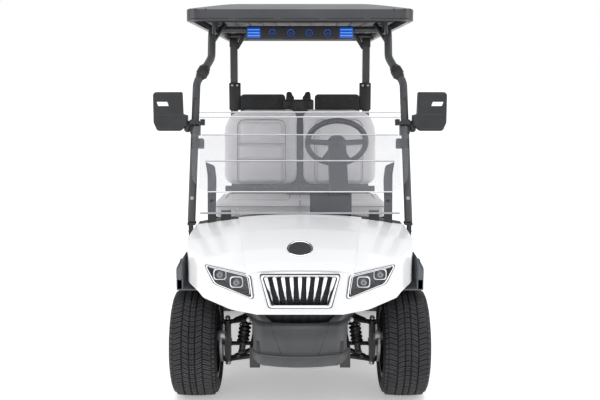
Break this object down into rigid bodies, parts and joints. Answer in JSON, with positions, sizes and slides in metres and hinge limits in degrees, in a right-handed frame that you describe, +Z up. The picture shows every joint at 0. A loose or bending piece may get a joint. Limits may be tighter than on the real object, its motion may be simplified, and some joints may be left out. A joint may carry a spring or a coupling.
{
  "type": "golf cart",
  "caption": "Electric golf cart with a front bench, a rear-facing flip seat, a canopy roof and a folding clear windshield.",
  "frame": {"origin": "on the ground, under the middle of the cart's length and width", "axes": "+Z up; +Y towards the rear of the cart, along its length; +X to the cart's left, the driver's side"},
  "size_m": [1.634, 2.96, 2.0818],
  "materials": {
    "body_white": "glossy",
    "charcoal_plastic": "satin",
    "black_plastic": "satin, fine grain",
    "black_metal": "powder coated",
    "canopy_metal": "powder coated",
    "chrome": "polished",
    "rim_alloy": "machined and painted",
    "tyre": "moulded",
    "clear_acrylic": "clear, glossy",
    "seat_vinyl": "embossed vinyl",
    "lamp_lens": "clear, glossy",
    "mirror": "silvered",
    "steel": "zinc plated",
    "red_lens": "glossy",
    "rubber": "ribbed"
  },
  "bodies": {
    "cart": {"battery_block": "black_plastic", "chassis_rails": "black_metal", "crossmembers": "black_metal", "dashboard": "black_plastic", "floor_pan": "rubber", "front_bumper": "charcoal_plastic", "front_cowl": "body_white", "front_dampers": "black_metal", "front_flares": "charcoal_plastic", "front_struts": "canopy_metal", "front_subframe": "black_metal", "grille": "chrome", "headlamps": "lamp_lens", "mirror_glass": "mirror", "mirror_housings": "black_plastic", "pedals": "steel", "rear_axle": "black_metal", "rear_body": "body_white", "rear_flares": "charcoal_plastic", "rear_footrest": "black_plastic", "rear_posts": "canopy_metal", "rear_seat_back": "seat_vinyl", "rear_suspension": "black_metal", "rocker_panels": "charcoal_plastic", "roof": "charcoal_plastic", "roof_crossbars": "canopy_metal", "seat_backs": "seat_vinyl", "seat_pedestal": "black_plastic", "seat_shell": "black_plastic", "sound_bar": "black_plastic", "steering_column": "black_plastic", "strut_feet": "black_plastic", "tail_lamps": "red_lens", "windshield_brackets": "black_plastic", "windshield_lower": "clear_acrylic", "wishbones": "black_metal"},
    "knuckle_left_body": {"knuckle_left": "steel"},
    "knuckle_right_body": {"knuckle_right": "steel"},
    "front_left_wheel": {"tyre_front_left": "tyre", "wheel_front_left": "rim_alloy"},
    "front_right_wheel": {"tyre_front_right": "tyre", "wheel_front_right": "rim_alloy"},
    "rear_left_wheel": {"tyre_rear_left": "tyre", "wheel_rear_left": "rim_alloy"},
    "rear_right_wheel": {"tyre_rear_right": "tyre", "wheel_rear_right": "rim_alloy"},
    "steering_rack": {"tie_rods": "steel"},
    "hand_wheel": {"steering_wheel": "black_plastic"},
    "folding_pane": {"windshield_upper": "clear_acrylic", "windshield_hinges": "black_plastic"},
    "front_bench": {"bench_cushion": "seat_vinyl"},
    "rear_flip_seat": {"rear_seat_cushion": "seat_vinyl"}
  },
  "joints": [
    {"name": "steer_left", "type": "hinge", "parent": "cart", "child": "knuckle_left_body", "pos_m": [0.378, -0.92, 0.2795], "axis": [0, 0, 1], "range_deg": [-28, 28]},
    {"name": "steer_right", "type": "hinge", "parent": "cart", "child": "knuckle_right_body", "pos_m": [-0.378, -0.92, 0.2795], "axis": [0, 0, 1], "range_deg": [-28.1, 28.1]},
    {"name": "rack_slide", "type": "slide", "parent": "cart", "child": "steering_rack", "axis": [1, 0, 0], "range_m": [-0.0589, 0.0589]},
    {"name": "steering_turn", "type": "hinge", "parent": "cart", "child": "hand_wheel", "pos_m": [0.216, -0.22, 1.27], "axis": [0, 0.7771, 0.6293], "range_deg": [-337, 337]},
    {"name": "front_left_spin", "type": "hinge", "parent": "knuckle_left_body", "child": "front_left_wheel", "pos_m": [0.536, -0.92, 0.2795], "axis": [1, 0, 0], "continuous": true},
    {"name": "front_right_spin", "type": "hinge", "parent": "knuckle_right_body", "child": "front_right_wheel", "pos_m": [-0.536, -0.92, 0.2795], "axis": [1, 0, 0], "continuous": true},
    {"name": "rear_left_spin", "type": "hinge", "parent": "cart", "child": "rear_left_wheel", "pos_m": [0.536, 0.73, 0.2795], "axis": [1, 0, 0], "continuous": true},
    {"name": "rear_right_spin", "type": "hinge", "parent": "cart", "child": "rear_right_wheel", "pos_m": [-0.536, 0.73, 0.2795], "axis": [1, 0, 0], "continuous": true},
    {"name": "pane_fold", "type": "hinge", "parent": "cart", "child": "folding_pane", "pos_m": [0, -0.48203, 1.4025], "axis": [-1, 0, 0], "range_deg": [0, 178]},
    {"name": "bench_lift", "type": "hinge", "parent": "cart", "child": "front_bench", "pos_m": [0, 0.355, 0.7903], "axis": [-1, 0, 0], "range_deg": [0, 45]},
    {"name": "rear_seat_flip", "type": "hinge", "parent": "cart", "child": "rear_flip_seat", "pos_m": [0, 1.133, 0.794], "axis": [-1, 0, 0], "range_deg": [0, 178]}
  ],
  "couplings": [
    {"joint": "steer_right", "follows": "steer_left", "ratio": 1},
    {"joint": "rack_slide", "follows": "steer_left", "m_per_rad": -0.12},
    {"joint": "steering_turn", "follows": "steer_left", "ratio": 12}
  ]
}
